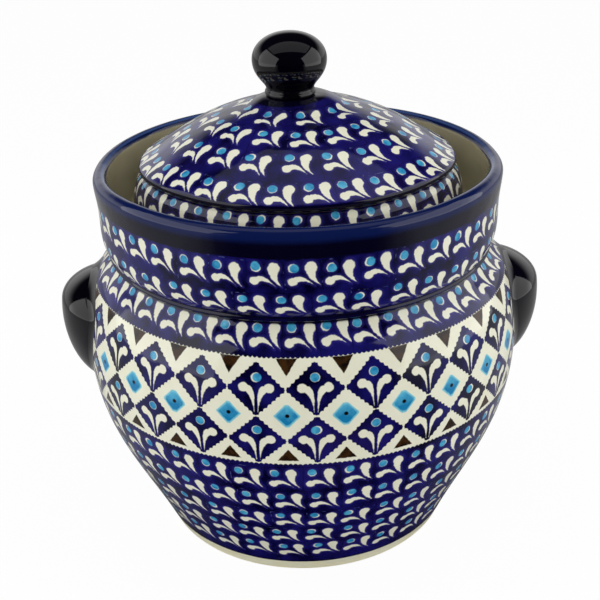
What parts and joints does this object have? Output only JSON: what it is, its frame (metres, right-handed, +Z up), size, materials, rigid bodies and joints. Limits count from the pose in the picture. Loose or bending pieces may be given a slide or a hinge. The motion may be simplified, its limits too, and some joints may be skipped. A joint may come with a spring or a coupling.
{
  "type": "water seal pickle jar",
  "caption": "Round-bellied glazed stoneware crock with a water gutter round its mouth, a domed lid whose skirt stands in the gutter, a ball knob, lug handles and half-moon weights",
  "frame": {"origin": "middle of the foot on the table plane, on the axis of the jar", "axes": "+Z up along the jar's axis, X through both lug handles, -Y the front that the picture shows"},
  "size_m": [0.2598, 0.233, 0.269],
  "materials": {
    "patterned_glaze": "glossy clear glaze over cobalt stamped folk ornament",
    "dark_glaze": "glossy near-black cobalt glaze",
    "cream_glaze": "clear glaze over cream stoneware"
  },
  "bodies": {
    "jar": {"jar_body": "patterned_glaze", "gutter_collar": "patterned_glaze", "handle_left": "dark_glaze", "handle_right": "dark_glaze"},
    "lid": {"lid_dome": "patterned_glaze", "lid_skirt": "patterned_glaze", "lid_knob": "dark_glaze"},
    "weight_left": {"weight_left": "cream_glaze"},
    "weight_right": {"weight_right": "cream_glaze"}
  },
  "joints": [
    {"name": "lid_lift", "type": "slide", "parent": "jar", "child": "lid", "axis": [0, 0, 1], "range_m": [0, 0.1]},
    {"name": "weight_left_lift", "type": "slide", "parent": "jar", "child": "weight_left", "axis": [0, 0, 1], "range_m": [0, 0.11]},
    {"name": "weight_right_lift", "type": "slide", "parent": "jar", "child": "weight_right", "axis": [0, 0, 1], "range_m": [0, 0.11]}
  ]
}
